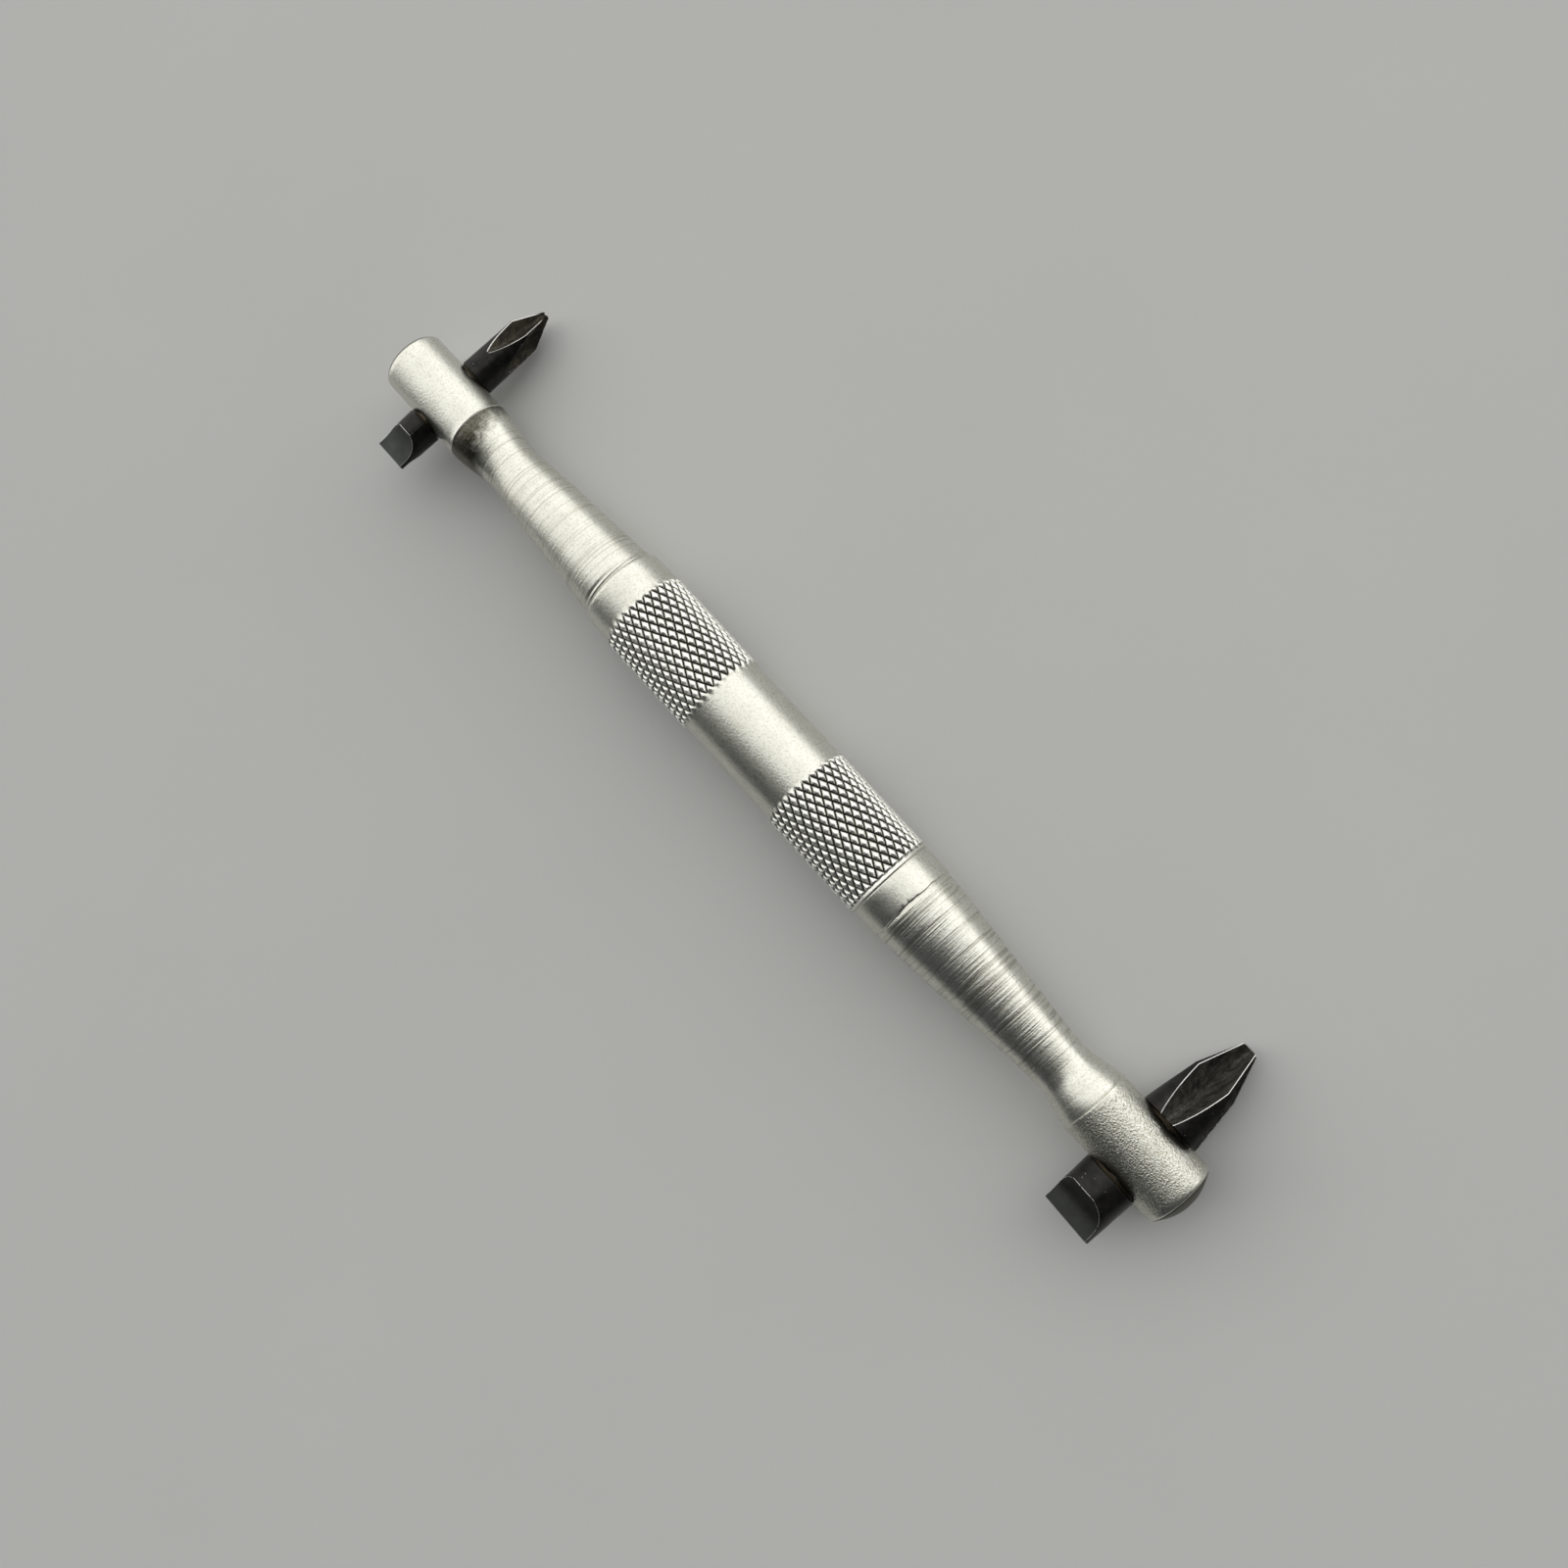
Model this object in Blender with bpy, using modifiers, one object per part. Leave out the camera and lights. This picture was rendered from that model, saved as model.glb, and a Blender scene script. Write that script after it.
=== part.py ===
"""Double-ended offset screwdriver: a turned handle bar with a head at each end, and a pair of tips across each head
on a toothed spindle that a sprung pawl indexes. +X runs along the bar to the large head, +Y to the cross tips, +Z up.
The tool is shaped with its tips level and then laid down as it comes to rest, rolled over on to its large cross tip. The
origin is at the bottom centre of the whole object. Driving dimensions are in millimetres."""

import math

import bmesh
import bpy
from mathutils import Matrix, Vector

MM = 0.001
NAME = "offset_screwdriver"

# ---- handle bar, distances along the bar from the far rim -----------------------------------------------------
FAR_DOME = 1.2
NEAR_DOME = 1.4
FAR_RIM, NEAR_RIM = 0.0, 128.2
FAR_HEAD_D, NEAR_HEAD_D = 7.94, 8.5
RIM_BREAK = 0.2
FAR_SHOULDER, FAR_SHOULDER_D = 11.9, 8.10
FAR_WAIST, FAR_WAIST_D = 18.2, 6.45
FAR_TAPER_END, FAR_TAPER_END_D = 37.6, 9.6
FAR_COLLAR, FAR_COLLAR_D = 38.1, 10.55
FAR_KNURL, FAR_KNURL_END = 41.8, 55.4
NEAR_KNURL, NEAR_KNURL_END = 69.3, 83.4
KNURL_D = 11.1
BAND_D = 10.7
NEAR_COLLAR_D, NEAR_COLLAR_END = 10.72, 86.8
NEAR_TAPER_D = 10.46
NEAR_WAIST, NEAR_WAIST_D = 110.3, 6.55
NEAR_FLARE_END, NEAR_FLARE_END_D = 115.1, 8.34
BAR_SIDES = 68

# ---- tips: y is measured from the bar's axis, + to the cross tip and - to the slotted tip ------------------------
TIPS = {
    "far": dict(
        at=6.8, turn=-8.5, head_d=FAR_HEAD_D, base=4.08, face=3.74, face_d=4.50,
        washer_d=4.26, washer_t=0.30,
        cross_d0=4.54, cross_d1=4.28, cross_shoulder=11.6, cross_tip=15.2, cross_tip_d=0.85, flute_start=6.9, flute_core=0.16,
        slot_d0=4.50, slot_d1=4.40, slot_step=6.30, slot_step_h=1.90, slot_tip=9.65, slot_tip_t=0.72, slot_turn=-8.5,
        spindle_r=1.80, tooth_tip_r=1.75, tooth_root_r=1.42, bore_r=1.85, square=2.20, tenon=1.9,
        pawl_r=1.55, pawl_flat=1.05, pawl_front=1.95, pawl_back=3.50, lift=0.40,
        plug_r=2.2, plug_depth=1.40, pocket=0.0,
    ),
    "near": dict(
        at=122.3, turn=-18.5, head_d=NEAR_HEAD_D, base=4.27, face=3.85, face_d=6.52,
        washer_d=6.2, washer_t=0.38,
        cross_d0=7.48, cross_d1=6.66, cross_shoulder=10.8, cross_tip=15.95, cross_tip_d=2.40, flute_start=2.6, flute_core=0.16,
        slot_d0=6.74, slot_d1=6.60, slot_step=7.10, slot_step_h=2.82, slot_tip=10.70, slot_tip_t=1.00, slot_turn=-30.5,
        spindle_r=2.00, tooth_tip_r=1.95, tooth_root_r=1.58, bore_r=2.05, square=2.50, tenon=2.2,
        pawl_r=1.75, pawl_flat=1.15, pawl_front=2.15, pawl_back=3.55, lift=0.45,
        plug_r=2.4, plug_depth=1.05, pocket=0.75,
    ),
}
TEETH = 12
TOOTH_RUN = 27.0  # degrees of the sloping back, the rest of the pitch is the tip land
VALLEY = 13.0  # degrees from the pawl's line to the tooth's steep face
CLEAR = 0.02  # fit between pieces that are pressed together
GUIDE = 0.05  # running gap round a pawl
TOOTH_GAP = 0.05
WIRE_R, COIL_TURNS = 0.13, 4.5
SIDES = 48
HOLLOW = 3.0  # how quickly a blade's hollow-ground curve drops
FLUTE_LINE = 0.55  # share of the flute floor's rise that is straight, the rest is curved

# ---- the bar's axis in the object's frame ----------------------------------------------------------------------
AXIS_X = -(NEAR_RIM + NEAR_DOME - FAR_DOME) / 2.0  # where the far rim is
AXIS_Y = -(TIPS["near"]["cross_tip"] - TIPS["near"]["slot_tip"]) / 2.0
AXIS_Z = KNURL_D / 2.0

COLOURS = {
    "nickel": ((0.62, 0.60, 0.55), 0.38, 1.0),
    "black_oxide": ((0.035, 0.034, 0.033), 0.42, 0.9),
    "bright_steel": ((0.55, 0.55, 0.56), 0.30, 1.0),
    "spring_steel": ((0.30, 0.30, 0.32), 0.35, 1.0),
    "bronze": ((0.55, 0.42, 0.24), 0.40, 1.0),
}


def clear_scene():
    for obj in list(bpy.data.objects):
        bpy.data.objects.remove(obj, do_unlink=True)


def collection(name, hide=False):
    made = bpy.data.collections.new(name)
    bpy.context.scene.collection.children.link(made)
    made.hide_render = hide
    return made


def material(node, kind):
    colour, rough, metal = COLOURS[kind]
    made = bpy.data.materials.new(node)
    made.use_nodes = True
    shader = made.node_tree.nodes["Principled BSDF"]
    shader.inputs["Base Color"].default_value = (*colour, 1.0)
    shader.inputs["Roughness"].default_value = rough
    shader.inputs["Metallic"].default_value = metal
    return made


def place(mesh_or_bm, name, kind=None, location=(0, 0, 0), rotation=(0, 0, 0)):
    """A part in the object's collection, or a wire cutter where no material is given. Location is in millimetres."""
    mesh = mesh_or_bm
    if isinstance(mesh_or_bm, bmesh.types.BMesh):
        mesh = bpy.data.meshes.new(name)
        bmesh.ops.recalc_face_normals(mesh_or_bm, faces=mesh_or_bm.faces)
        mesh_or_bm.to_mesh(mesh)
        mesh_or_bm.free()
    obj = bpy.data.objects.new(name, mesh)
    obj.location = Vector(location) * MM
    obj.rotation_euler = rotation
    if kind:
        PARTS.objects.link(obj)
        mesh.materials.append(material(name, kind))
        mesh.shade_smooth()
        mesh.set_sharp_from_angle(angle=math.radians(30))
    else:
        CUTTERS.objects.link(obj)
        obj.hide_render = True
        obj.display_type = "WIRE"
    return obj


def combine(obj, other, operation):
    step = obj.modifiers.new(operation.lower() + "_" + other.name, "BOOLEAN")
    step.operation = operation
    step.solver = "EXACT"
    step.object = other


def turned(profile, name, kind, location, rotation, sides):
    """Profile points (radius, height), top to bottom, turned about the local Z axis."""
    mesh = bpy.data.meshes.new(name)
    mesh.from_pydata([(r * MM, 0, z * MM) for r, z in profile], [(i, i + 1) for i in range(len(profile) - 1)], [])
    obj = place(mesh, name, kind, location, rotation)
    step = obj.modifiers.new("turn", "SCREW")
    step.axis = "Z"
    step.angle = math.tau
    step.steps = step.render_steps = sides
    step.use_merge_vertices = True
    step.merge_threshold = 1e-6
    step.use_smooth_shade = True
    return obj


def cylinder(name, radius, low, high, location, rotation, sides=SIDES):
    """A cutter along its local Z from low to high."""
    bm = bmesh.new()
    bmesh.ops.create_cone(bm, cap_ends=True, segments=sides, radius1=radius * MM, radius2=radius * MM, depth=(high - low) * MM)
    bmesh.ops.translate(bm, verts=bm.verts, vec=(0, 0, (low + high) / 2 * MM))
    return place(bm, name, None, location, rotation)


def prism(outline, low, high, axes):
    """A flat outline swept from low to high; axes names the two outline axes and the sweep axis, such as 'YZX'."""
    bm = bmesh.new()
    order = ["XYZ".index(a) for a in axes]

    def point(u, v, w):
        out = [0.0, 0.0, 0.0]
        out[order[0]], out[order[1]], out[order[2]] = u * MM, v * MM, w * MM
        return out

    face = bm.faces.new([bm.verts.new(point(u, v, low)) for u, v in outline])
    swept = bmesh.ops.extrude_face_region(bm, geom=[face])
    moved = [g for g in swept["geom"] if isinstance(g, bmesh.types.BMVert)]
    bmesh.ops.translate(bm, verts=moved, vec=Vector(point(0, 0, high - low)))
    return bm


def rings_to_solid(rings):
    """A loft through rings of equal point count, capped at both ends."""
    bm = bmesh.new()
    loops = [[bm.verts.new((x * MM, y * MM, z * MM)) for x, y, z in ring] for ring in rings]
    for a, b in zip(loops, loops[1:]):
        for i in range(len(a)):
            j = (i + 1) % len(a)
            bm.faces.new((a[i], a[j], b[j], b[i]))
    bm.faces.new(loops[0])
    bm.faces.new(list(reversed(loops[-1])))
    return bm


def smooth(t):
    return t * t * (3 - 2 * t)


# ---- handle bar --------------------------------------------------------------------------------------------------


def bar_profile():
    """(distance from the far rim, diameter) along the bar, far end first."""
    far, near = TIPS["far"], TIPS["near"]
    points = [  # the counterbore for the far plug, then the far head
        (FAR_RIM + far["plug_depth"], 0.0),
        (FAR_RIM + far["plug_depth"], 2 * far["plug_r"]),
        (FAR_RIM, 2 * far["plug_r"]),
        (FAR_RIM, FAR_HEAD_D - 2 * RIM_BREAK),
        (FAR_RIM + RIM_BREAK, FAR_HEAD_D),
        (FAR_SHOULDER - 0.15, FAR_HEAD_D),
        (FAR_SHOULDER, FAR_SHOULDER_D),
    ]
    for k in range(1, 8):  # flare down to the waist
        t = k / 7
        points.append((FAR_SHOULDER + t * (FAR_WAIST - FAR_SHOULDER), FAR_SHOULDER_D + (FAR_WAIST_D - FAR_SHOULDER_D) * math.sin(t * math.pi / 2) ** 1.25))
    for k in range(1, 8):  # taper up to the collar, a little fuller in the middle
        t = k / 7
        points.append((FAR_WAIST + t * (FAR_TAPER_END - FAR_WAIST), FAR_WAIST_D + (FAR_TAPER_END_D - FAR_WAIST_D) * (t + 0.10 * math.sin(math.pi * t))))
    points += [
        (FAR_COLLAR, FAR_COLLAR_D),
        (FAR_KNURL - 0.1, FAR_COLLAR_D + 0.1),
        (FAR_KNURL, KNURL_D - 0.2),
        (FAR_KNURL + 0.2, KNURL_D),
        (FAR_KNURL_END - 0.2, KNURL_D),
        (FAR_KNURL_END, BAND_D),
        (NEAR_KNURL, BAND_D),
        (NEAR_KNURL + 0.2, KNURL_D),
        (NEAR_KNURL_END - 0.1, KNURL_D),
        (NEAR_KNURL_END, NEAR_COLLAR_D),
        (NEAR_COLLAR_END, NEAR_COLLAR_D),
        (NEAR_COLLAR_END + 0.1, NEAR_TAPER_D),
    ]
    for k in range(1, 9):  # taper down to the near waist
        t = k / 8
        points.append((NEAR_COLLAR_END + 0.1 + t * (NEAR_WAIST - NEAR_COLLAR_END - 0.1), NEAR_TAPER_D + (NEAR_WAIST_D - NEAR_TAPER_D) * (t - 0.03 * math.sin(2 * math.pi * t))))
    for k in range(1, 6):  # short flare to the near head
        t = k / 5
        points.append((NEAR_WAIST + t * (NEAR_FLARE_END - NEAR_WAIST), NEAR_WAIST_D + (NEAR_FLARE_END_D - NEAR_WAIST_D) * smooth(t)))
    points += [
        (NEAR_FLARE_END + 0.08, NEAR_HEAD_D),
        (NEAR_RIM - RIM_BREAK, NEAR_HEAD_D),
        (NEAR_RIM, NEAR_HEAD_D - 2 * RIM_BREAK),
        (NEAR_RIM, 2 * near["plug_r"]),
        (NEAR_RIM - near["plug_depth"], 2 * near["plug_r"]),
        (NEAR_RIM - near["plug_depth"], 0.0),
    ]
    return points


ALONG_X = (0.0, math.pi / 2, 0.0)  # local Z to +X
ALONG_NX = (0.0, -math.pi / 2, 0.0)  # local Z to -X
ALONG_Y = (-math.pi / 2, 0.0, 0.0)  # local Z to +Y
ALONG_NY = (math.pi / 2, 0.0, 0.0)  # local Z to -Y


def d_outline(radius, flat, sides):
    """Round outline in Y and Z with its underside cut flat at -flat."""
    drop = math.asin(flat / radius)
    span = math.pi + 2 * drop
    return [(radius * math.cos(-drop + span * k / sides), radius * math.sin(-drop + span * k / sides)) for k in range(sides + 1)]


def handle_bar():
    far_rim = (AXIS_X, AXIS_Y, AXIS_Z)
    profile = [(d / 2, x) for x, d in reversed(bar_profile())]
    bar = turned(profile, "handle_bar", "nickel", far_rim, ALONG_X, BAR_SIDES)
    for end, t in TIPS.items():
        centre = (AXIS_X + t["at"], AXIS_Y, AXIS_Z)
        out = -1 if end == "far" else 1
        rim = t["at"] - FAR_RIM if end == "far" else NEAR_RIM - t["at"]
        combine(bar, cylinder(end + "_cross_bore_cut", t["bore_r"], -t["head_d"], t["head_d"], centre, ALONG_Y), "DIFFERENCE")
        for side, turn in (("cross", ALONG_Y), ("slot", ALONG_NY)):
            combine(bar, cylinder(f"{end}_{side}_face_cut", t["face_d"] / 2, t["face"], t["head_d"], centre, turn), "DIFFERENCE")
        outline = d_outline(t["pawl_r"] + GUIDE, t["pawl_flat"] + GUIDE, 28)
        low, high = sorted((out * 0.9, out * (rim - t["plug_depth"] / 2)))
        combine(bar, place(prism(outline, low, high, "YZX"), end + "_pawl_bore_cut", None, centre), "DIFFERENCE")
    return bar


# ---- tips --------------------------------------------------------------------------------------------------------


def flute_depth_line(t):
    """Distance of the flute's bottom from the tip's axis at a height y: in step with the cone near the tip, and a curve
    that runs out at the shank's surface."""
    r0, r1 = t["cross_d0"] / 2, t["cross_d1"] / 2
    core = t["flute_core"] * r1

    def line(y):
        if y >= t["cross_shoulder"]:
            return t["flute_core"] * cross_radius(t, y)
        s = (t["cross_shoulder"] - y) / (t["cross_shoulder"] - t["flute_start"])
        start_r = r0 + (r1 - r0) * (t["flute_start"] - t["base"]) / (t["cross_shoulder"] - t["base"])
        return core + (start_r - core) * (FLUTE_LINE * s + (1 - FLUTE_LINE) * s * s)

    return line


def cross_radius(t, y):
    if y <= t["cross_shoulder"]:
        return t["cross_d0"] / 2 + (t["cross_d1"] - t["cross_d0"]) / 2 * (y - t["base"]) / (t["cross_shoulder"] - t["base"])
    s = (y - t["cross_shoulder"]) / (t["cross_tip"] - t["cross_shoulder"])
    return t["cross_d1"] / 2 + (t["cross_tip_d"] - t["cross_d1"]) / 2 * s


def cross_ring(radius, depth, y, flute_points=8, land_points=3):
    """One section of a cross tip: four flutes with straight walls and a rounded floor, and four lands on the round."""
    wall = math.radians(45.0)
    depth = min(depth, radius * 0.985)
    edge = max(wall - math.asin(depth * math.sin(wall) / radius), math.radians(1.5))
    ring = []
    for quarter in range(4):
        middle = quarter * math.pi / 2
        for k in range(flute_points + 1):
            phi = edge * (2 * k / flute_points - 1)
            flat = depth * 1.18
            straight = depth * math.sin(wall) / math.sin(wall - min(abs(phi), wall - 1e-4))
            r = max(straight, flat / max(math.cos(phi), 0.3)) if abs(phi) < edge * 0.999 else radius
            r = min(r, radius)
            ring.append((middle + phi, r))
        for k in range(1, land_points):
            phi = edge + (math.pi / 2 - 2 * edge) * k / land_points
            ring.append((middle + phi, radius))
    return [(r * math.sin(a), y, r * math.cos(a)) for a, r in ring]


def cross_bit(end, t):
    line = flute_depth_line(t)
    start, shoulder, tip = t["flute_start"], t["cross_shoulder"], t["cross_tip"]
    heights = [t["base"]]
    if start > t["base"] + 0.3:
        heights.append(start - 0.05)
    low = max(start, t["base"])
    heights += [low + (shoulder - low) * k / 7 for k in range(1, 8)]
    heights += [shoulder + (tip - shoulder) * k / 4 for k in range(1, 5)]
    rings = [cross_ring(cross_radius(t, y), line(y), y) for y in heights]
    bit = place(rings_to_solid(rings), end + "_phillips_bit", "black_oxide", (AXIS_X + t["at"], AXIS_Y, AXIS_Z), (0, math.radians(t["turn"]), 0))
    socket(bit, end + "_cross_socket_cut", t, t["base"] - 0.5, t["base"] + t["tenon"] + 0.15)
    return bit


def socket(bit, name, t, low, high):
    half = t["square"] / 2 + CLEAR
    cutter = prism([(-half, -half), (half, -half), (half, half), (-half, half)], low, high, "ZXY")
    combine(bit, place(cutter, name, None, (AXIS_X + t["at"], AXIS_Y, AXIS_Z), (0, math.radians(t["turn"]), 0)), "DIFFERENCE")


def slotted_bit(end, t):
    centre = (AXIS_X + t["at"], AXIS_Y, AXIS_Z)
    r0, r1 = t["slot_d0"] / 2, t["slot_d1"] / 2
    profile = [(0, t["slot_tip"]), (r1, t["slot_tip"]), (r1, t["slot_step"]), (r0 - 0.12, t["base"] + 0.0), (0, t["base"])]
    bit = turned(profile, end + "_slotted_bit", "black_oxide", centre, (math.pi / 2, math.radians(t["slot_turn"]), 0), SIDES)
    # two hollow-ground flats: a short step at the shank, then a curve that runs out at the tip
    run = t["slot_tip"] - t["slot_step"]
    curve = []
    for k in range(11):
        s = k / 10
        curve.append((-(t["slot_step"] + s * run), t["slot_tip_t"] / 2 + (t["slot_step_h"] - t["slot_tip_t"] / 2) * (1 - s) ** HOLLOW))
    curve.append((-(t["slot_tip"] + 1.0), t["slot_tip_t"] / 2))
    for side in (1, -1):
        outline = [(y, side * h) for y, h in curve] + [(-(t["slot_tip"] + 1.0), side * (r0 + 1)), (-t["slot_step"], side * (r0 + 1))]
        cutter = prism(outline, -r0 - 1, r0 + 1, "YZX")
        combine(bit, place(cutter, f"{end}_flat_cut_{'top' if side > 0 else 'under'}", None, centre, (0, math.radians(t["slot_turn"]), 0)), "DIFFERENCE")
    socket(bit, end + "_slot_socket_cut", t, -(t["base"] + t["tenon"] + 0.15), -(t["base"] - 0.5))
    return bit


# ---- spindle, washers, pawl, spring, plug --------------------------------------------------------------------------


def tooth_angles(out):
    """(angle, radius) round the toothed part, the angle from the pawl's line towards +Z."""
    pitch = 360.0 / TEETH
    found = []
    for k in range(TEETH):
        steep = VALLEY - k * pitch
        found += [(steep, "root"), (steep - TOOTH_RUN / 2, "mid"), (steep - TOOTH_RUN, "tip"), (steep - pitch + 0.8, "tip")]
    return [(math.radians(a), kind) for a, kind in found]


def ratchet_spindle(end, t):
    out = -1 if end == "far" else 1
    centre = (AXIS_X + t["at"], AXIS_Y, AXIS_Z)
    teeth = tooth_angles(out)
    middle = (t["tooth_root_r"] + t["tooth_tip_r"]) / 2
    radius = {"root": t["tooth_root_r"], "mid": middle, "tip": t["tooth_tip_r"]}

    def ring(y, plain):
        return [(out * (t["spindle_r"] if plain else radius[kind]) * math.cos(a), y, (t["spindle_r"] if plain else radius[kind]) * math.sin(a)) for a, kind in teeth]

    end_y = t["base"] - CLEAR
    rings = [ring(-end_y, True), ring(-1.1, True), ring(-1.1, False), ring(1.1, False), ring(1.1, True), ring(end_y, True)]
    spindle = place(rings_to_solid(rings), end + "_ratchet_spindle", "bright_steel", centre)
    half = t["square"] / 2
    reach = t["base"] + t["tenon"]
    square = place(prism([(-half, -half), (half, -half), (half, half), (-half, half)], -reach, reach, "ZXY"), end + "_tenon_join", None, centre, (0, math.radians(t["turn"]), 0))
    combine(spindle, square, "UNION")
    return spindle


def washer(end, side, t):
    centre = (AXIS_X + t["at"], AXIS_Y, AXIS_Z)
    low = t["face"] + CLEAR
    high = low + t["washer_t"]
    inner, outer = t["spindle_r"] + 0.12, t["washer_d"] / 2
    ring = [(inner, high), (outer - 0.05, high), (outer, high - 0.05), (outer, low), (inner, low), (inner, high)]
    return turned(ring, f"{end}_{'phillips' if side > 0 else 'slotted'}_washer", "bronze", centre, ALONG_Y if side > 0 else ALONG_NY, 40)


def pawl(end, t):
    out = -1 if end == "far" else 1
    centre = (AXIS_X + t["at"], AXIS_Y, AXIS_Z)
    low, high = sorted((out * t["pawl_front"], out * t["pawl_back"]))
    body = place(prism(d_outline(t["pawl_r"], t["pawl_flat"], 28), low, high, "YZX"), end + "_pawl", "bright_steel", centre)
    # nose: the tooth space moved back by the gap, from the root to inside the body
    steep, back = math.radians(VALLEY), math.radians(VALLEY - TOOTH_RUN)
    root = Vector((t["tooth_root_r"] * math.cos(steep), t["tooth_root_r"] * math.sin(steep)))
    tip = Vector((t["tooth_tip_r"] * math.cos(back), t["tooth_tip_r"] * math.sin(back)))
    face = Vector((math.cos(steep), math.sin(steep)))  # along the steep face, outward
    slope = (tip - root).normalized()
    off_face = Vector((face.y, -face.x)) * TOOTH_GAP  # away from the steep face
    off_slope = Vector((-slope.y, slope.x)) * TOOTH_GAP
    if off_slope.x < 0:
        off_slope = -off_slope
    a = root + off_face + off_slope * 1.2
    reach = t["pawl_front"] + 0.5
    b = a + face * ((reach - a.x) / face.x)
    c = a + slope * ((tip - root).length * 0.92)
    d = Vector((reach, c.y))
    outline = [(out * p.x, p.y) for p in (a, b, d, c)]
    nose = place(prism(outline, -0.8, 0.8, "XZY"), end + "_pawl_nose_join", None, centre)
    combine(body, nose, "UNION")
    return body


def pawl_spring(end, t):
    """A coil from the pawl's back to the plug, with a closed turn at each end."""
    out = -1 if end == "far" else 1
    rim = t["at"] - FAR_RIM if end == "far" else NEAR_RIM - t["at"]
    low = t["pawl_back"] + 0.03 + WIRE_R
    high = rim - t["plug_depth"] + t["pocket"] - 0.03 - WIRE_R
    radius = t["pawl_flat"] - 0.06 - WIRE_R
    steps = int(COIL_TURNS * 14)
    curve = bpy.data.curves.new(end + "_pawl_spring", "CURVE")
    curve.dimensions = "3D"
    curve.bevel_depth = WIRE_R * MM
    curve.bevel_resolution = 1
    curve.use_fill_caps = True
    path = curve.splines.new("POLY")
    path.points.add(steps)
    for k in range(steps + 1):
        s = k / steps
        turn = s * COIL_TURNS
        lift = min(max((turn - 0.6) / (COIL_TURNS - 1.2), 0.0), 1.0)
        a = turn * math.tau
        x = low + (high - low) * (0.86 * lift + 0.14 * s)
        path.points[k].co = (out * x * MM, radius * math.cos(a) * MM, radius * math.sin(a) * MM, 1)
    obj = bpy.data.objects.new(end + "_pawl_spring", curve)
    obj.location = Vector((AXIS_X + t["at"], AXIS_Y, AXIS_Z)) * MM
    curve.materials.append(material(end + "_pawl_spring", "spring_steel"))
    PARTS.objects.link(obj)
    return obj


def end_plug(end, t):
    out = -1 if end == "far" else 1
    x = AXIS_X + (FAR_RIM if end == "far" else NEAR_RIM)
    dome = FAR_DOME if end == "far" else NEAR_DOME
    base_r = t["head_d"] / 2 - RIM_BREAK - 0.02
    ball = (base_r * base_r + dome * dome) / (2 * dome)
    profile = []
    for k in range(7):
        r = base_r * k / 6
        profile.append((r, dome - ball + math.sqrt(ball * ball - r * r)))
    profile[-1] = (base_r, 0.06)
    profile += [(base_r, CLEAR), (t["plug_r"] - CLEAR, CLEAR), (t["plug_r"] - CLEAR, -t["plug_depth"] + CLEAR)]
    if t["pocket"]:
        profile += [(t["pawl_flat"] + 0.1, -t["plug_depth"] + CLEAR), (t["pawl_flat"] + 0.1, -t["plug_depth"] + t["pocket"]), (0, -t["plug_depth"] + t["pocket"])]
    else:
        profile += [(0, -t["plug_depth"] + CLEAR)]
    return turned(profile, end + "_end_plug", "nickel", (x, AXIS_Y, AXIS_Z), ALONG_NX if out < 0 else ALONG_X, SIDES)


def main():
    handle_bar()
    for end, t in TIPS.items():
        cross_bit(end, t)
        slotted_bit(end, t)
        ratchet_spindle(end, t)
        for side in (1, -1):
            washer(end, side, t)
        pawl(end, t)
        pawl_spring(end, t)
        end_plug(end, t)


def lay_down():
    """Rolls the tool about its bar until a cross tip meets the floor, then puts the origin at the bottom centre."""
    bpy.context.view_layer.update()
    graph = bpy.context.evaluated_depsgraph_get()
    axis = Vector((0.0, AXIS_Y, AXIS_Z)) * MM
    clouds = {}
    for obj in PARTS.objects:
        shape = obj.evaluated_get(graph)
        clouds[obj.name] = [obj.matrix_world @ v.co - axis for v in shape.to_mesh().vertices]
        shape.to_mesh_clear()
    foot = KNURL_D / 2.0 * MM * math.cos(math.pi / BAR_SIDES)
    touch = [-math.asin(foot / math.hypot(c.y, c.z)) - math.atan2(c.z, c.y) for end in TIPS for c in clouds[end + "_phillips_bit"] if c.y > foot]
    roll = Matrix.Rotation(max(touch), 4, "X")
    rolled = [roll @ c for cloud in clouds.values() for c in cloud]
    low, high = ([pick(c[k] for c in rolled) for k in range(3)] for pick in (min, max))
    seat = Matrix.Translation((-(low[0] + high[0]) / 2.0, -(low[1] + high[1]) / 2.0, -low[2]))
    laid = seat @ roll @ Matrix.Translation(-axis)
    for obj in [*PARTS.objects, *CUTTERS.objects]:
        obj.matrix_world = laid @ obj.matrix_world


clear_scene()
PARTS = collection(NAME)
CUTTERS = collection(NAME + "_cutters", hide=True)
main()
lay_down()
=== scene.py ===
"""Looks of the double-ended offset screwdriver: satin nickel bar with diamond knurling, black-oxide tips with worn edges.
Lengths in the tables are millimetres; x is measured along the bar from the far rim."""

import math

import bmesh
import bpy
import numpy as np
from mathutils import Matrix, Vector


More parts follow.
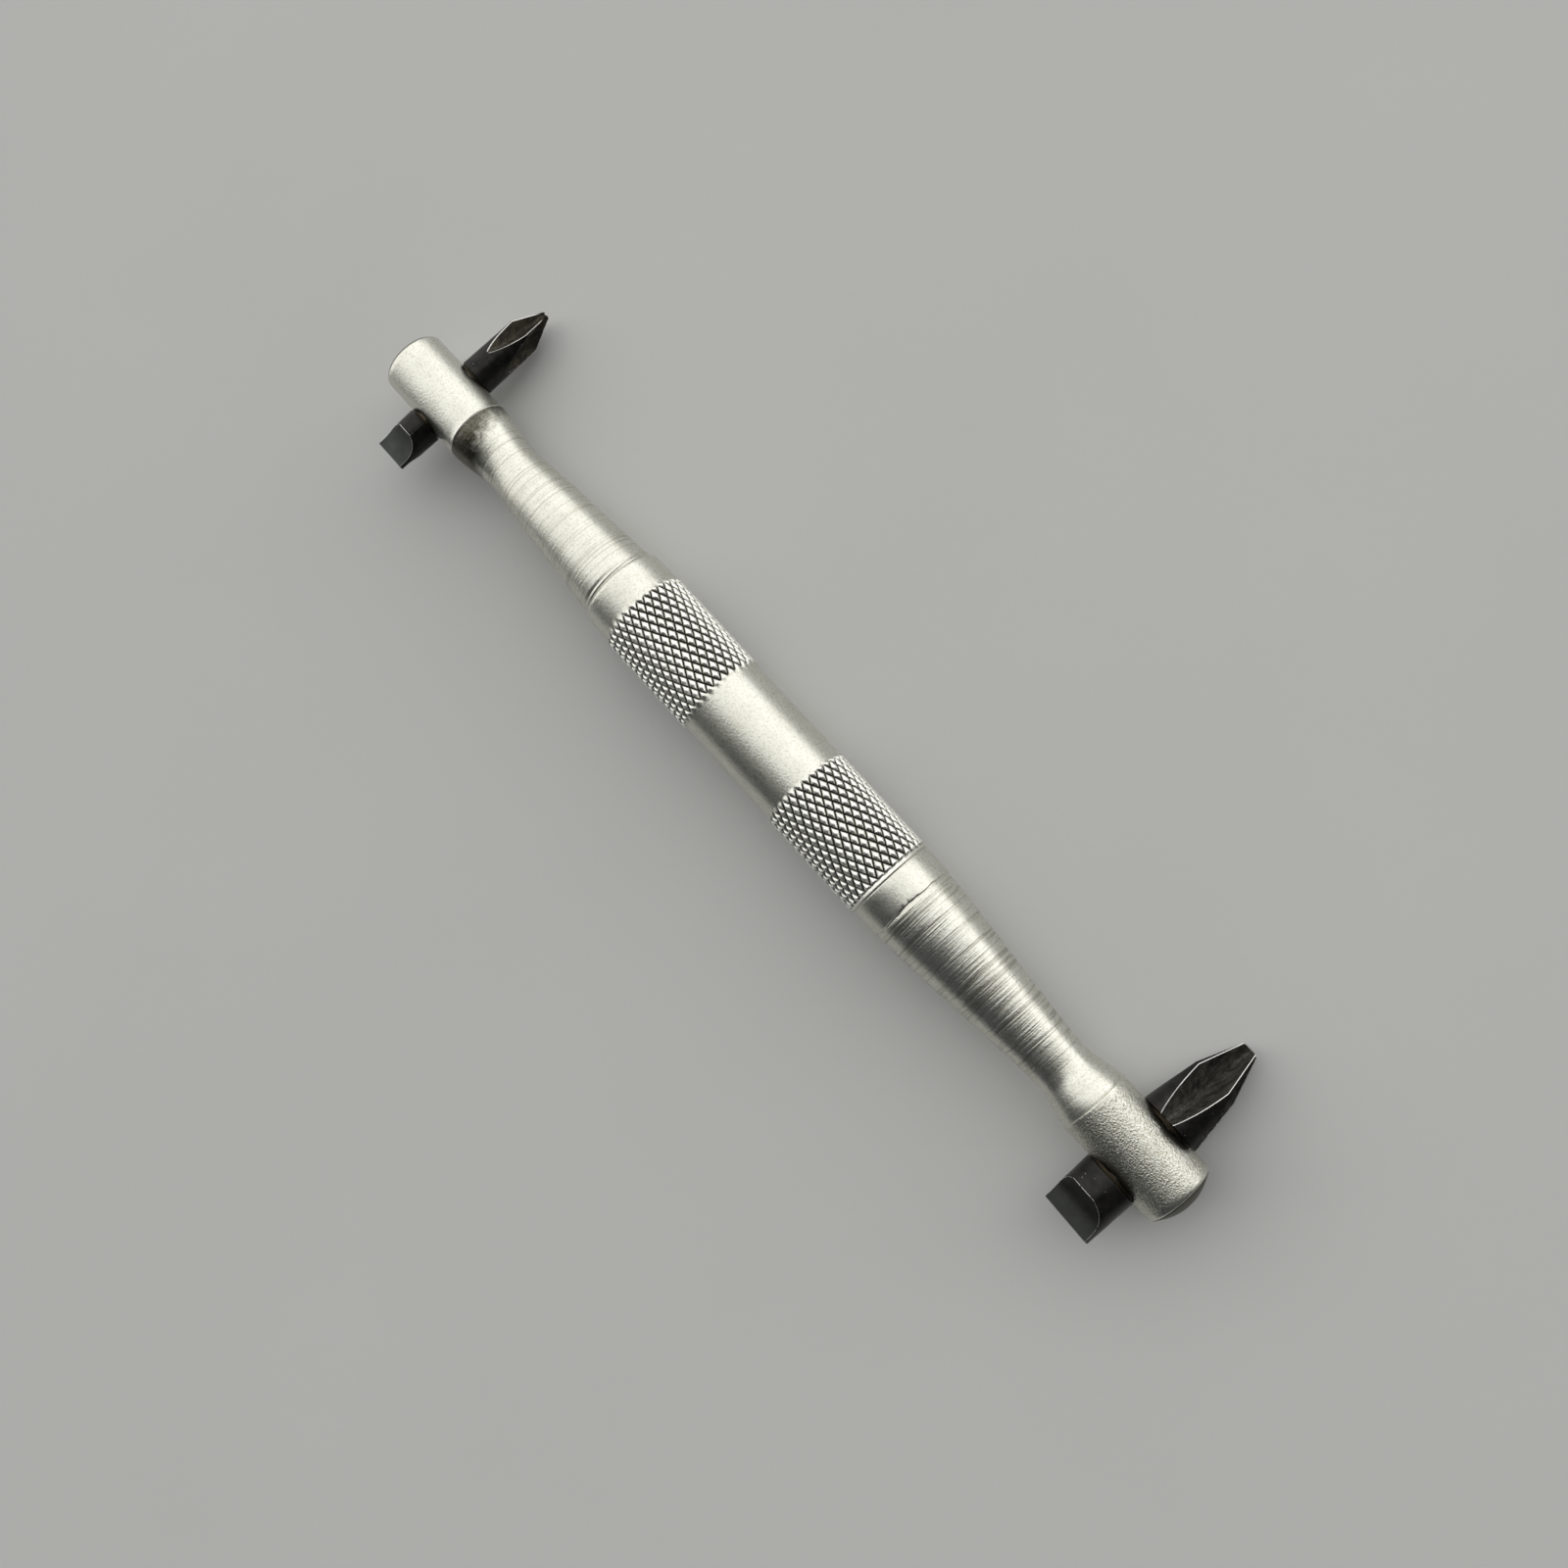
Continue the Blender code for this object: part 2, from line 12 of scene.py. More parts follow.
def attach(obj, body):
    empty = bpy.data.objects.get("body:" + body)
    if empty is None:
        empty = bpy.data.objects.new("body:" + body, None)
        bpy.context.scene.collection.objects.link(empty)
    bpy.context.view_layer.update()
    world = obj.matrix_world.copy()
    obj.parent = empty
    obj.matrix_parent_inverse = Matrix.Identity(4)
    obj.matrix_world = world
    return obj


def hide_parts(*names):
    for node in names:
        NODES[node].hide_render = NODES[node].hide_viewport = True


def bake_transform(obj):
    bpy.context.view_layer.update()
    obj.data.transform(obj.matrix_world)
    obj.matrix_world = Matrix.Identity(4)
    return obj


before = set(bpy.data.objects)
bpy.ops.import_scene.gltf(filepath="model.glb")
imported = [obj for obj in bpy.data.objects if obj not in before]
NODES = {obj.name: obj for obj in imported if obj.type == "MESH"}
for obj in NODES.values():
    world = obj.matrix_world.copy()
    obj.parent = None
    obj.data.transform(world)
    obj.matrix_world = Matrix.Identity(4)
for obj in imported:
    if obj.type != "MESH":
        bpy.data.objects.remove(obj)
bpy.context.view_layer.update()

MM = 0.001
AXIS_X = -64.2  # the far rim in the row frame
AXIS_Y, AXIS_Z = 0.0, 0.0  # shapes are made about the bar's axis with the tips level, then laid down
NEAR_RIM = 128.2
ROLL = math.radians(-13.384112)  # the tool lies rolled on to its large cross tip
LAID = Matrix.Translation(Vector((0.0, -2.44297, 5.54473)) * MM) @ Matrix.Rotation(ROLL, 4, "X")

# ---- small tools -----------------------------------------------------------------------------------------------


def smoothstep(t):
    t = np.clip(t, 0.0, 1.0)
    return t * t * (3 - 2 * t)


def monotone(points):
    """Smooth curve through (x, value) points with no overshoot."""
    xs = np.array([p[0] for p in points], float)
    ys = np.array([p[1] for p in points], float)
    h = np.diff(xs)
    d = np.diff(ys) / h
    m = np.zeros_like(xs)
    m[0], m[-1] = d[0], d[-1]
    for i in range(1, len(xs) - 1):
        if d[i - 1] * d[i] > 0:
            w1, w2 = 2 * h[i] + h[i - 1], h[i] + 2 * h[i - 1]
            m[i] = (w1 + w2) / (w1 / d[i - 1] + w2 / d[i])

    def at(x):
        i = int(np.clip(np.searchsorted(xs, x) - 1, 0, len(h) - 1))
        t = (x - xs[i]) / h[i]
        return float(
            (1 + 2 * t) * (1 - t) ** 2 * ys[i] + t * (1 - t) ** 2 * h[i] * m[i] + t * t * (3 - 2 * t) * ys[i + 1] + t * t * (t - 1) * h[i] * m[i + 1]
        )

    return at


def new_object(name, verts, faces, materials, index=None, sharp=30.0):
    """A mesh piece from points in millimetres in the row frame."""
    mesh = bpy.data.meshes.new(name)
    mesh.from_pydata([tuple(v) for v in np.asarray(verts, float) * MM], [], faces)
    for m in materials:
        mesh.materials.append(m)
    if index is not None:
        mesh.polygons.foreach_set("material_index", np.asarray(index, np.int32))
    mesh.validate()
    bm = bmesh.new()
    bm.from_mesh(mesh)
    bmesh.ops.recalc_face_normals(bm, faces=bm.faces)
    bm.to_mesh(mesh)
    bm.free()
    mesh.shade_smooth()
    mesh.set_sharp_from_angle(angle=math.radians(sharp))
    obj = bpy.data.objects.new(name, mesh)
    bpy.context.scene.collection.objects.link(obj)
    return obj


def loft(rings, groups=None):
    """(verts, faces, material indices) of a capped loft through rings of equal length. groups(i, j) gives the material of
    the face from ring i to i + 1 at point j."""
    n = len(rings[0])
    verts = np.concatenate([np.asarray(r, float) for r in rings])
    faces, index = [], []
    for i in range(len(rings) - 1):
        a, b = i * n, (i + 1) * n
        for j in range(n):
            k = (j + 1) % n
            faces.append((a + j, a + k, b + k, b + j))
            index.append(groups(i, j) if groups else 0)
    faces.append(tuple(range(n)))
    index.append(groups(-1, 0) if groups else 0)
    last = (len(rings) - 1) * n
    faces.append(tuple(reversed(range(last, last + n))))
    index.append(groups(-2, 0) if groups else 0)
    return verts, faces, index


# ---- materials -------------------------------------------------------------------------------------------------


class Nodes:
    """Short hand for building one material's node tree."""

    def __init__(self, name):
        self.material = bpy.data.materials.new(name)
        self.material.use_nodes = True
        self.tree = self.material.node_tree
        self.shader = self.tree.nodes["Principled BSDF"]
        place = self.add("ShaderNodeTexCoord")
        scale = self.add("ShaderNodeVectorMath", operation="SCALE")
        self.link(place.outputs["Object"], scale.inputs[0])
        scale.inputs["Scale"].default_value = 1000.0
        self.mm = scale.outputs[0]  # object coordinates in millimetres

    def add(self, kind, **settings):
        node = self.tree.nodes.new(kind)
        for key, value in settings.items():
            setattr(node, key, value)
        return node

    def link(self, a, b):
        self.tree.links.new(a, b)

    def feed(self, socket, value):
        if isinstance(value, (int, float)):
            socket.default_value = value
        elif isinstance(value, (tuple, list)):
            socket.default_value = value
        else:
            self.link(value, socket)

    def stretched(self, scale, offset=(0, 0, 0)):
        node = self.add("ShaderNodeMapping")
        self.link(self.mm, node.inputs["Vector"])
        node.inputs["Scale"].default_value = scale
        node.inputs["Location"].default_value = offset
        return node.outputs[0]

    def noise(self, scale, detail=3.0, rough=0.55, distort=0.0, vector=None):
        node = self.add("ShaderNodeTexNoise")
        self.link(vector if vector is not None else self.mm, node.inputs["Vector"])
        node.inputs["Scale"].default_value = scale
        node.inputs["Detail"].default_value = detail
        node.inputs["Roughness"].default_value = rough
        node.inputs["Distortion"].default_value = distort
        return node.outputs["Fac"]

    def math(self, operation, a, b=0.0, clamp=False):
        node = self.add("ShaderNodeMath", operation=operation, use_clamp=clamp)
        self.feed(node.inputs[0], a)
        self.feed(node.inputs[1], b)
        return node.outputs[0]

    def fit(self, value, low, high, to_low=0.0, to_high=1.0):
        node = self.add("ShaderNodeMapRange", clamp=True)
        self.link(value, node.inputs["Value"])
        for name, number in (("From Min", low), ("From Max", high), ("To Min", to_low), ("To Max", to_high)):
            node.inputs[name].default_value = number
        return node.outputs["Result"]

    def window(self, value, low, high, soft):
        rise = self.fit(value, low - soft, low + soft)
        fall = self.fit(value, high - soft, high + soft, 1.0, 0.0)
        return self.math("MULTIPLY", rise, fall)

    def mix(self, fac, a, b):
        node = self.add("ShaderNodeMix", data_type="RGBA")
        self.feed(node.inputs["Factor"], fac)
        for name, value in (("A", a), ("B", b)):
            socket = [s for s in node.inputs if s.name == name and s.type == "RGBA"][0]
            self.feed(socket, (*value, 1.0) if isinstance(value, tuple) and len(value) == 3 else value)
        return [s for s in node.outputs if s.type == "RGBA"][0]

    def bump(self, height, distance_mm, normal=None, strength=1.0):
        node = self.add("ShaderNodeBump")
        node.inputs["Strength"].default_value = strength
        node.inputs["Distance"].default_value = distance_mm * MM
        self.link(height, node.inputs["Height"])
        if normal is not None:
            self.link(normal, node.inputs["Normal"])
        return node.outputs["Normal"]

    def axes(self):
        node = self.add("ShaderNodeSeparateXYZ")
        self.link(self.mm, node.inputs[0])
        return node.outputs

    def done(self, colour, rough, metallic, normal=None, specular=None):
        s = self.shader.inputs
        self.feed(s["Base Color"], (*colour, 1.0) if isinstance(colour, tuple) else colour)
        self.feed(s["Roughness"], rough)
        self.feed(s["Metallic"], metallic)
        if normal is not None:
            self.link(normal, s["Normal"])
        if specular is not None:
            s["Specular IOR Level"].default_value = specular
        return self.material


def nickel_bar():
    """Satin nickel over turned steel: fine grain all over, tool rings on the tapers, a pebbled near head."""
    n = Nodes("satin_nickel_bar")
    x = n.math("ADD", n.axes()[0], -AXIS_X)
    grain = n.noise(4.2, 2.0, 0.62)
    fine = n.noise(13.0, 2.0, 0.5)
    cloud = n.noise(0.35, 3.0, 0.5)
    far_rings = n.noise(1.0, 1.5, 0.62, 0.0, n.stretched((4.3, 0.035, 0.035)))
    near_rings = n.noise(1.0, 1.5, 0.68, 0.0, n.stretched((3.0, 0.10, 0.10), (3.1, 7.7, 0.0)))
    far_head = n.window(x, 0.3, 11.6, 0.3)
    far_zone = n.window(x, 12.6, 37.2, 0.5)
    near_zone = n.math("MULTIPLY", n.window(x, 87.3, 114.6, 0.4), n.fit(x, 107.0, 111.0, 1.0, 0.18))
    head_zone = n.window(x, 115.4, 127.6, 0.4)
    pebble = n.noise(4.6, 2.0, 0.60, 0.15)
    # colour: warm nickel, a little duller in the hollows of the tool rings and in slow clouds
    base = n.mix(n.fit(cloud, 0.35, 0.7), (0.735, 0.738, 0.680), (0.690, 0.690, 0.625))
    speck = n.fit(grain, 0.34, 0.52, 1.0, 0.0)
    base = n.mix(n.math("MULTIPLY", speck, 0.55), base, (0.43, 0.415, 0.345))
    pit = n.math("MULTIPLY", n.fit(pebble, 0.36, 0.48, 1.0, 0.0), head_zone)
    base = n.mix(n.math("MULTIPLY", pit, 0.68), base, (0.33, 0.29, 0.205))
    dull = n.math("MULTIPLY", n.fit(near_rings, 0.38, 0.48, 1.0, 0.0), near_zone)
    base = n.mix(n.math("MULTIPLY", dull, 0.50), base, (0.26, 0.245, 0.195))
    dull_far = n.math("MULTIPLY", n.fit(far_rings, 0.36, 0.48, 1.0, 0.0), far_zone)
    base = n.mix(n.math("MULTIPLY", dull_far, 0.52), base, (0.38, 0.36, 0.29))
    # painted shade on the flare just behind the far shoulder: side pushes the band further along the bar on the -y
    # side, which faces away from the light, and patch noise breaks up its edge
    side = n.math("MULTIPLY", n.math("ADD", n.axes()[1], 2.443), 0.56)
    patch = n.noise(0.85, 4.0, 0.62, 0.4)
    edge = n.math("ADD", n.math("ADD", x, side), n.math("ADD", n.math("MULTIPLY", far_rings, 0.8), n.math("MULTIPLY", patch, 2.8)))
    shoulder_shade = n.math("MULTIPLY", n.fit(x, 11.93, 12.0), n.fit(edge, 15.7, 17.7, 1.0, 0.0))
    shoulder_shade = n.math("MULTIPLY", shoulder_shade, n.fit(n.math("ADD", n.math("MULTIPLY", grain, 0.5), n.math("MULTIPLY", patch, 0.5)), 0.36, 0.62, 0.97, 0.82))
    base = n.mix(shoulder_shade, base, (0.036, 0.031, 0.016))
    # painted shade on the far rim's broken edge: a dark band where the rounded edge turns away from the light
    base = n.mix(n.math("MULTIPLY", n.fit(x, 0.08, 0.26, 1.0, 0.0), 0.80), base, (0.12, 0.112, 0.088))
    # painted shade in the grooves of the knurling, told by the distance from the bar's axis
    off = n.add("ShaderNodeVectorMath", operation="MULTIPLY_ADD")
    n.link(n.mm, off.inputs[0])
    off.inputs[1].default_value, off.inputs[2].default_value = (0.0, 1.0, 1.0), (0.0, 2.44297, -5.54473)
    out = n.add("ShaderNodeVectorMath", operation="LENGTH")
    n.link(off.outputs[0], out.inputs[0])
    groove_shade = n.fit(out.outputs["Value"], KNURL_R - 0.86 * KNURL_DEPTH, KNURL_R - 0.46 * KNURL_DEPTH, 1.0, 0.0)
    knurled = n.math("ADD", n.window(x, 41.95, 55.0, 0.12), n.window(x, 69.45, 83.0, 0.12))
    base = n.mix(n.math("MULTIPLY", n.math("MULTIPLY", groove_shade, knurled), 0.97), base, (0.018, 0.0165, 0.013))
    # the crests and upper flanks of the knurling are painted bright: rubbed wear on the crests, and a painted highlight
    crest_wear_and_highlight = n.fit(out.outputs["Value"], KNURL_R - 0.66 * KNURL_DEPTH, KNURL_R - 0.40 * KNURL_DEPTH)
    base = n.mix(n.math("MULTIPLY", n.math("MULTIPLY", crest_wear_and_highlight, knurled), 0.85), base, (0.93, 0.93, 0.89))
    rough = n.fit(n.math("ADD", n.math("MULTIPLY", grain, 0.6), n.math("MULTIPLY", cloud, 0.4)), 0.3, 0.7, 0.29, 0.38)
    normal = n.bump(grain, 0.024)
    normal = n.bump(fine, 0.002, normal)
    normal = n.bump(n.math("MULTIPLY", grain, far_head), 0.010, normal)
    normal = n.bump(n.math("MULTIPLY", far_rings, far_zone), 0.018, normal)
    normal = n.bump(n.math("MULTIPLY", near_rings, near_zone), 0.080, normal)
    normal = n.bump(n.math("MULTIPLY", pebble, head_zone), 0.085, normal)
    return n.done(base, rough, 1.0, normal)


# the plugs' dark colour is painted shade: the domes face away from the light
def nickel_plug():
    n = Nodes("painted_shade_plug")
    grain = n.noise(6.0, 4.0, 0.65)
    cloud = n.noise(0.8, 3.0, 0.5)
    base = n.mix(n.fit(cloud, 0.35, 0.7), (0.12, 0.115, 0.090), (0.085, 0.081, 0.062))
    base = n.mix(n.math("MULTIPLY", n.fit(grain, 0.30, 0.46, 1.0, 0.0), 0.5), base, (0.060, 0.056, 0.044))
    rough = n.fit(grain, 0.3, 0.7, 0.36, 0.52)
    return n.done(base, rough, 1.0, n.bump(grain, 0.012))


def black_oxide(name, sheen=0.0):
    """Oil-blackened steel: nearly black, faint brown and grey clouds, tiny bright nicks."""
    n = Nodes(name)
    grain = n.noise(7.0, 4.0, 0.6)
    cloud = n.noise(0.9, 4.0, 0.6)
    nick = n.noise(3.1, 2.0, 0.5, 0.4)
    base = n.mix(n.fit(cloud, 0.35, 0.68), (0.010, 0.010, 0.010), (0.026, 0.0245, 0.022))
    base = n.mix(n.fit(nick, 0.735, 0.755), base, (0.30, 0.29, 0.27))
    rough = n.fit(n.math("ADD", n.math("MULTIPLY", grain, 0.5), n.math("MULTIPLY", cloud, 0.5)), 0.3, 0.7, 0.24 + sheen, 0.38 + sheen)
    return n.done(base, rough, 0.55, n.bump(grain, 0.006), 0.28)


def flute_floor(name, streak, pale):
    """Ground flute: brown-grey streaks along the tip, fine specks."""
    n = Nodes(name)
    streaks = n.noise(1.0, 4.0, 0.6, 0.3, n.stretched((2.6, 0.35, 2.6)))
    speckle = n.noise(4.2, 3.0, 0.6)
    base = n.mix(n.fit(streaks, 0.36, 0.66), (0.020, 0.019, 0.016), pale)
    base = n.mix(n.math("MULTIPLY", n.fit(speckle, 0.62, 0.72), streak), base, (0.24, 0.23, 0.21))
    rough = n.fit(streaks, 0.3, 0.7, 0.36, 0.55)
    normal = n.bump(speckle, 0.012)
    return n.done(base, rough, 0.7, n.bump(streaks, 0.014, normal))


def worn_edge(name, broken, bright=(0.80, 0.79, 0.77)):
    """Edge rubbed to bare steel, with gaps where the black is still on; with a high broken most of the edge stays
    black, which paints shade on edges turned away from the light.
    """
    n = Nodes(name)
    gaps = n.noise(1.7, 4.0, 0.6)
    fine = n.noise(9.0, 2.0, 0.5)
    bare = n.fit(n.math("ADD", gaps, n.math("MULTIPLY", fine, 0.12)), broken, broken + 0.10)
    base = n.mix(bare, (0.05, 0.048, 0.045), bright)
    rough = n.fit(fine, 0.3, 0.7, 0.24, 0.40)
    return n.done(base, rough, 0.6, n.bump(fine, 0.004))


def blade_face(name, shade):
    """Hollow-ground blade: matt dark grey-green with fine grinding lines across it and a paler tip; shade scales all of
    it, so the near blade is painted darker than the far one, painted shade.
    """
    n = Nodes(name)
    lines = n.noise(1.0, 4.0, 0.65, 0.0, n.stretched((0.35, 6.5, 0.35)))
    cloud = n.noise(0.9, 3.0, 0.55)
    base = n.mix(n.fit(cloud, 0.34, 0.68), (0.048 * shade, 0.053 * shade, 0.048 * shade), (0.080 * shade, 0.087 * shade, 0.078 * shade))
    base = n.mix(n.math("MULTIPLY", n.fit(lines, 0.55, 0.72), 0.4), base, (0.15 * shade, 0.16 * shade, 0.145 * shade))
    y = n.math("MULTIPLY", n.axes()[1], -1.0)
    near_tip = n.fit(y, 10.2, 13.2)
    base = n.mix(n.math("MULTIPLY", near_tip, 0.30), base, (0.16 * shade, 0.17 * shade, 0.155 * shade))
    rough = n.fit(lines, 0.3, 0.7, 0.38, 0.54)
    return n.done(base, rough, 0.75, n.bump(lines, 0.008))


def plain_steel(name, colour, dark, low, high, stretch):
    """Ground or drawn steel: fine lines one way, slight clouding."""
    n = Nodes(name)
    lines = n.noise(1.0, 4.0, 0.6, 0.0, n.stretched(stretch))
    cloud = n.noise(0.7, 3.0, 0.5)
    base = n.mix(n.fit(cloud, 0.35, 0.7), colour, dark)
    rough = n.fit(lines, 0.3, 0.7, low, high)
    return n.done(base, rough, 1.0, n.bump(lines, 0.006))


# the washers are coloured almost black: painted shade in the gap at the foot of each tip
def bronze_washer():
    n = Nodes("washer_painted_shade")
    grain = n.noise(5.0, 4.0, 0.6)
    cloud = n.noise(0.8, 3.0, 0.55)
    base = n.mix(n.fit(cloud, 0.34, 0.7), (0.036, 0.029, 0.020), (0.022, 0.018, 0.013))
    rough = n.fit(grain, 0.3, 0.7, 0.46, 0.62)
    return n.done(base, rough, 1.0, n.bump(grain, 0.008))


# ---- handle bar ------------------------------------------------------------------------------------------------

AROUND_DIAMONDS = 32
PER_DIAMOND = 8
SEGMENTS = AROUND_DIAMONDS * PER_DIAMOND
KNURL_R, KNURL_DEPTH = 5.55, 0.28
DIAMOND_LENGTH = math.pi * 2 * KNURL_R / AROUND_DIAMONDS / math.tan(math.radians(30.0))
GROOVE = 0.31  # half width of a groove as a share of the pitch

FAR_FLARE = monotone([(11.9, 8.02), (12.3, 7.96), (13.3, 7.82), (14.4, 7.50), (15.45, 7.12), (16.7, 6.64), (18.2, 6.45)])
FAR_TAPER = monotone([(18.2, 6.45), (19.4, 6.58), (22.7, 7.36), (26.3, 7.98), (31.1, 8.68), (35.8, 9.46), (37.0, 9.62)])
NEAR_TAPER = monotone([(87.0, 10.46), (91.5, 9.86), (94.7, 9.22), (99.9, 8.24), (105.1, 7.28), (108.2, 6.78), (110.3, 6.55)])
NEAR_FLARE = monotone([(110.3, 6.55), (111.3, 6.72), (112.8, 7.44), (114.3, 8.12), (115.05, 8.34)])


def bar_rows():
    """[(x, radius, knurl band or None, row number in the band)] from the far end to the near end."""
    rows = [(1.4, 2.2), (0.0, 2.2), (0.0, 3.74), (0.04, 3.83), (0.12, 3.92), (0.24, 3.965)]
    rows += [(x, 3.97) for x in np.linspace(0.8, 11.0, 12)]
    rows += [(11.40, 3.975), (11.70, 4.01), (11.83, 4.045), (11.88, 4.05), (11.91, 4.035), (11.94, 3.99), (12.05, 3.965)]
    rows += [(x, FAR_FLARE(x) / 2) for x in np.linspace(12.3, 18.0, 16)]
    rows += [(x, FAR_TAPER(x) / 2) for x in np.linspace(18.6, 36.6, 36)]
    rows += [(36.9, 4.80), (37.02, 4.76), (37.11, 4.76), (37.22, 4.81), (37.33, 4.85), (37.43, 4.79), (37.52, 4.79), (37.60, 4.86), (37.72, 5.02), (37.82, 5.16), (37.90, 5.235), (38.0, 5.272), (38.25, 5.295)]
    rows += [(39.2, 5.315), (40.2, 5.33), (41.2, 5.345), (41.66, 5.35)]
    rows = [(x, r, None, 0) for x, r in rows]
    step = DIAMOND_LENGTH / PER_DIAMOND

    def band(name, start, stop):
        count = int((stop - start) / step)
        return [(start + step * i, KNURL_R, name, i) for i in range(count + 1)]

    rows += band("far", 41.80, 55.40)
    rows += [(x, r, None, 0) for x, r in ([(55.52, 5.352), (55.8, 5.35)] + [(x, 5.35) for x in np.linspace(56.6, 68.4, 14)] + [(69.0, 5.35), (69.18, 5.352)])]
    rows += band("near", 69.30, 82.95)
    rows += [(83.02, 5.47), (83.08, 5.49), (83.14, 5.49), (83.18, 5.45), (83.21, 5.32), (83.26, 5.29), (83.33, 5.335), (83.5, 5.362), (84.4, 5.364), (85.3, 5.364), (86.2, 5.362), (86.6, 5.355)]
    rows = [r if len(r) == 4 else (*r, None, 0) for r in rows]
    tail = [(86.72, 5.345), (86.80, 5.28), (86.86, 5.17), (86.93, 5.16), (87.02, 5.20)]
    tail += [(x, NEAR_TAPER(x) / 2) for x in np.linspace(87.25, 110.2, 48)]
    tail += [(x, NEAR_FLARE(x) / 2) for x in np.linspace(110.8, 114.75, 14)]
    tail += [(114.90, 4.14), (114.97, 4.085), (115.05, 4.085), (115.11, 4.17), (115.16, 4.24), (115.23, 4.262), (115.36, 4.257), (115.5, 4.25)]
    tail += [(x, 4.25) for x in np.linspace(116.0, 127.4, 14)]
    tail += [(127.8, 4.247), (127.98, 4.225), (128.1, 4.17), (128.17, 4.09), (NEAR_RIM, 4.02), (NEAR_RIM, 2.4), (NEAR_RIM - 1.05, 2.4)]
    return rows + [(x, r, None, 0) for x, r in tail]


def wave(theta, parts):
    return sum(a * np.sin(k * theta + p) for k, a, p in parts)


def bar_mesh():
    theta = np.arange(SEGMENTS) * math.tau / SEGMENTS
    rows = bar_rows()
    rings, in_band = [], []
    step = DIAMOND_LENGTH / PER_DIAMOND
    column = np.arange(SEGMENTS)
    burr = wave(theta, [(3, 0.35, 0.4), (5, 0.25, 1.9), (9, 0.18, 2.7), (17, 0.12, 0.3), (29, 0.08, 1.1)])
    nicks = np.maximum(0.0, wave(theta, [(11, 0.5, 0.2), (23, 0.4, 1.4), (37, 0.3, 0.9)]) - 0.55)
    last = {name: max(r[3] for r in rows if r[2] == name) for name in ("far", "near")}
    for x, radius, band, number in rows:
        r = np.full(SEGMENTS, float(radius))
        xs = np.full(SEGMENTS, float(x))
        if band:
            a = ((column + number) % PER_DIAMOND) / PER_DIAMOND
            b = ((column - number) % PER_DIAMOND) / PER_DIAMOND
            da, db = np.minimum(a, 1 - a), np.minimum(b, 1 - b)
            near = np.minimum(da, db)
            height = np.minimum(near / GROOVE, 1.0) + 0.06 * np.clip((near - GROOVE) / (0.5 - GROOVE), 0, 1)
            cut = KNURL_R - KNURL_DEPTH + KNURL_DEPTH * height / 1.06
            ground = 5.352
            env = min(1.0, number / 1.0 + 0.0) * min(1.0, (last[band] - number) / (1.6 if band == "far" else 1.0))
            if number == 0 or number == last[band]:
                env = 0.25
            r = ground + (cut - ground) * env
        elif 86.6 < x < 87.05:  # ragged tool run-out at the end of the near collar
            xs = xs + 0.16 * burr
            r = r + 0.012 * burr * (x < 86.9)
        elif 114.85 < x < 115.25:
            xs = xs + 0.03 * burr
        elif 127.9 < x < 128.19:  # small dents on the near rim
            r = r - 0.05 * nicks
        rings.append((xs, r))
        in_band.append((band, number))
    verts = []
    for xs, r in rings:
        verts.append(np.stack([AXIS_X + xs, AXIS_Y + r * np.cos(theta), AXIS_Z + r * np.sin(theta)], 1))
    verts = np.concatenate(verts)
    faces = []
    for i in range(len(rings) - 1):
        a0, b0 = i * SEGMENTS, (i + 1) * SEGMENTS
        both = in_band[i][0] and in_band[i][0] == in_band[i + 1][0]
        number = in_band[i][1]
        for j in range(SEGMENTS):
            k = (j + 1) % SEGMENTS
            p, q, s, t = a0 + j, a0 + k, b0 + k, b0 + j
            if not both:
                faces.append((p, q, s, t))
                continue
            left, right = (number + j + 1) % PER_DIAMOND, (j - number) % PER_DIAMOND
            if min(left, PER_DIAMOND - left) < min(right, PER_DIAMOND - right):
                faces += [(p, q, t), (q, s, t)]
            else:
                faces += [(p, q, s), (p, s, t)]
    # close both counterbores at their floors
    n = len(verts)
    verts = np.concatenate([verts, [[AXIS_X + 1.4, AXIS_Y, AXIS_Z], [AXIS_X + NEAR_RIM - 1.05, AXIS_Y, AXIS_Z]]])
    end = (len(rings) - 1) * SEGMENTS
    for j in range(SEGMENTS):
        k = (j + 1) % SEGMENTS
        faces.append((k, j, n))
        faces.append((end + j, end + k, n + 1))
    return verts, faces


HEADS = {
    "far": dict(at=6.8, out=-1, rim=6.8, bore=1.85, face=3.74, face_r=2.16, pawl_r=1.60, pawl_flat=1.10, plug=1.40, half=7.94),
    "near": dict(at=122.3, out=1, rim=5.9, bore=2.05, face=3.85, face_r=3.13, pawl_r=1.80, pawl_flat=1.20, plug=1.05, half=8.5),
}


def temporary(name, bm):
    mesh = bpy.data.meshes.new(name)
    bmesh.ops.recalc_face_normals(bm, faces=bm.faces)
    bm.to_mesh(mesh)
    bm.free()
    obj = bpy.data.objects.new(name, mesh)
    bpy.context.scene.collection.objects.link(obj)
    return obj


def rod(name, centre, axis, radius, low, high, sides=64):
    """A cutter rod along a row axis, from low to high beyond its centre."""
    bm = bmesh.new()
    turn = {"Y": Matrix.Rotation(-math.pi / 2, 4, "X"), "X": Matrix.Rotation(math.pi / 2, 4, "Y")}[axis]
    bmesh.ops.create_cone(bm, cap_ends=True, segments=sides, radius1=radius * MM, radius2=radius * MM, depth=(high - low) * MM)
    bmesh.ops.translate(bm, verts=bm.verts, vec=(0, 0, (low + high) / 2 * MM))
    bmesh.ops.transform(bm, matrix=Matrix.Translation(Vector(centre) * MM) @ turn, verts=bm.verts)
    return temporary(name, bm)


